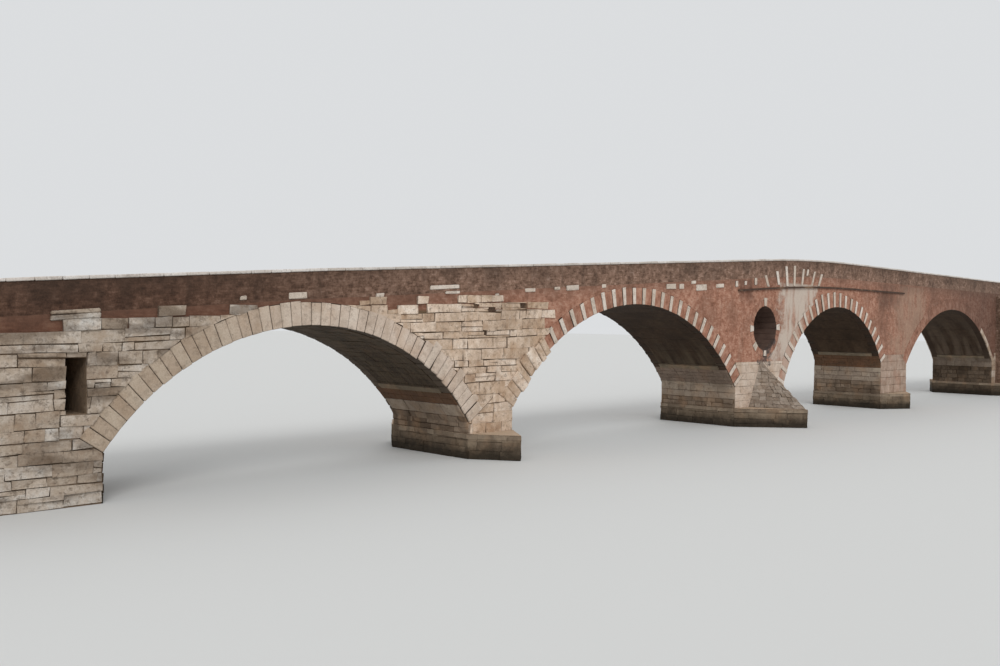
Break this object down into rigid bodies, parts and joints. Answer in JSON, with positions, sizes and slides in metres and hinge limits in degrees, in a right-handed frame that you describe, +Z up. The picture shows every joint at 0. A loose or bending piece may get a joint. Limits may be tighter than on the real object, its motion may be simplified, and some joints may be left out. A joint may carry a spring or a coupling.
{
  "type": "1:10 scale model stone arch bridge",
  "caption": "Five-arch masonry bridge with white stone and brick arches, pointed footings, a round flood opening and walled road, as a 1:10 scale model.",
  "frame": {"origin": "midway along the bridge and midway between the tips of its longest footing noses, front and back, at the level of the river where its feet end", "axes": "+X along the bridge from the all-stone arch to the brick arches, +Y across to the far face, +Z up"},
  "size_m": [13.2, 1.183, 1.21],
  "materials": {
    "limestone": "weathered",
    "brick": "weathered",
    "coping_stone": "weathered",
    "paving_stone": "worn",
    "rubble": "rough"
  },
  "bodies": {
    "root": {"abutment_left": "limestone", "abutment_right": "limestone", "barrel_1": "limestone", "barrel_2": "brick", "barrel_3": "brick", "barrel_4": "brick", "barrel_5": "brick", "buttress_4": "brick", "coping_back": "coping_stone", "coping_front": "coping_stone", "cutwaters_2": "limestone", "haunch_1": "rubble", "haunch_2": "rubble", "haunch_3": "rubble", "haunch_4": "rubble", "haunch_5": "rubble", "haunch_6": "rubble", "impost_courses": "coping_stone", "oculus_lining": "brick", "parapet_back": "brick", "parapet_front": "brick", "pier_1": "limestone", "pier_2": "limestone", "pier_3": "limestone", "pier_4": "limestone", "plinth_1": "limestone", "plinth_2": "limestone", "plinth_3": "limestone", "plinth_4": "limestone", "ring_1_stones": "limestone", "ring_2_bricks": "brick", "ring_2_stones": "limestone", "ring_3_bricks": "brick", "ring_3_stones": "limestone", "ring_4_bricks": "brick", "ring_5_bricks": "brick", "road_deck": "paving_stone", "spandrel_1": "limestone", "spandrel_2": "brick", "spandrel_3": "brick", "spandrel_4": "brick", "spandrel_5": "brick", "spandrel_6": "brick", "string_course": "coping_stone"}
  },
  "joints": []
}
